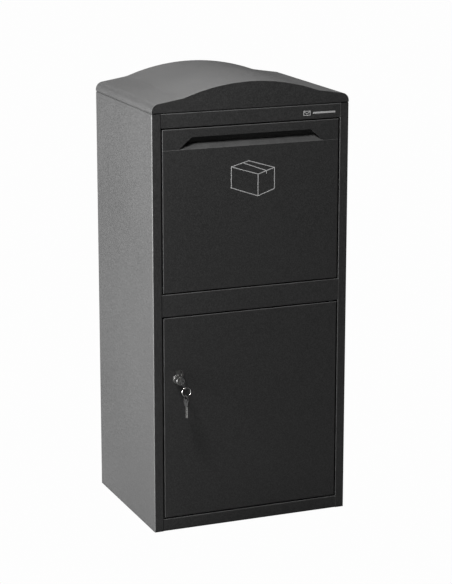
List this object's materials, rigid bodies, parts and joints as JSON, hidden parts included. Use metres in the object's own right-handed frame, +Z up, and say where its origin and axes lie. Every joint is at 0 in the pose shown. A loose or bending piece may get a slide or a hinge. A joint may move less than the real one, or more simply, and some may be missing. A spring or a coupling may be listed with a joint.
{
  "type": "parcel drop box",
  "caption": "Tall folded-steel parcel drop box with an arched roof, a tilting hopper flap above and a locked collection door below.",
  "frame": {"origin": "centre of the base, on the floor", "axes": "+Z up, the door and hopper face -Y, +X to the right as seen from the front"},
  "size_m": [0.44, 0.4056, 0.95],
  "materials": {
    "cabinet_coat": "fine-texture powder coat, satin anthracite",
    "roof_coat": "fine-texture powder coat, satin anthracite",
    "hopper_coat": "fine-texture powder coat, satin anthracite",
    "door_coat": "fine-texture powder coat, satin anthracite",
    "zinc_steel": "bright zinc plate",
    "bush_nylon": "moulded black nylon",
    "buffer_rubber": "matt",
    "pale_print": "screen-printed ink",
    "lock_nickel": "nickel plate",
    "key_nickel": "nickel plate",
    "key_plastic": "moulded"
  },
  "bodies": {
    "cabinet": {"left_side_panel": "cabinet_coat", "right_side_panel": "cabinet_coat", "back_panel": "cabinet_coat", "back_panel_screws": "zinc_steel", "base_pan": "cabinet_coat", "mid_rail": "cabinet_coat", "header_rail": "cabinet_coat", "top_panel": "cabinet_coat", "roof_screws": "zinc_steel", "roof_skin": "roof_coat", "roof_front_plate": "roof_coat", "roof_rear_plate": "roof_coat", "guard_baffle": "cabinet_coat", "baffle_screws": "zinc_steel", "hopper_hinge_bushes": "bush_nylon", "door_hinge_bushes": "bush_nylon", "hopper_buffers": "buffer_rubber", "door_buffers": "buffer_rubber", "header_mark": "pale_print"},
    "hopper": {"hopper_front_panel": "hopper_coat", "hopper_grip_strip": "hopper_coat", "hopper_left_cheek": "hopper_coat", "hopper_right_cheek": "hopper_coat", "hopper_floor_pan": "hopper_coat", "hopper_hinge_pins": "zinc_steel", "hopper_stop_studs": "zinc_steel", "parcel_pictogram": "pale_print"},
    "lower_door": {"door_panel": "door_coat", "door_stiffener": "door_coat", "door_hinge_pins": "zinc_steel", "lock_housing": "lock_nickel", "lock_nut": "zinc_steel"},
    "lock_barrel": {"lock_plug": "lock_nickel", "lock_cam": "zinc_steel", "cam_screw": "zinc_steel"},
    "weather_cover": {"keyhole_cover": "lock_nickel", "cover_pin": "lock_nickel"},
    "key": {"key_blade": "key_nickel", "key_bow": "key_plastic"},
    "ring": {"key_ring": "key_nickel"},
    "spare_key": {"spare_key_blade": "key_nickel", "spare_key_bow": "key_plastic"}
  },
  "joints": [
    {"name": "hopper_tilt", "type": "hinge", "parent": "cabinet", "child": "hopper", "pos_m": [0, -0.17, 0.5305], "axis": [1, 0, 0], "range_deg": [0, 45]},
    {"name": "door_swing", "type": "hinge", "parent": "cabinet", "child": "lower_door", "pos_m": [0.1855, -0.17, 0.2475], "axis": [0, 0, 1], "range_deg": [0, 110]},
    {"name": "lock_turn", "type": "hinge", "parent": "lower_door", "child": "lock_barrel", "pos_m": [-0.167, -0.17, 0.333], "axis": [0, 1, 0], "range_deg": [0, 90]},
    {"name": "cover_flip", "type": "hinge", "parent": "lower_door", "child": "weather_cover", "pos_m": [-0.167, -0.1932, 0.3436], "axis": [1, 0, 0], "range_deg": [0, 65]},
    {"name": "key_withdraw", "type": "slide", "parent": "lock_barrel", "child": "key", "axis": [0, -1, 0], "range_m": [0, 0.03]},
    {"name": "ring_hang", "type": "hinge", "parent": "key", "child": "ring", "pos_m": [-0.16373, -0.21763, 0.32292], "axis": [0, 1, 0], "range_deg": [-90, 0]},
    {"name": "spare_key_swing", "type": "hinge", "parent": "ring", "child": "spare_key", "pos_m": [-0.16373, -0.21763, 0.30619], "axis": [1, 0, 0], "range_deg": [-20, 20]}
  ],
  "couplings": [
    {"joint": "ring_hang", "follows": "lock_turn", "ratio": -1}
  ]
}
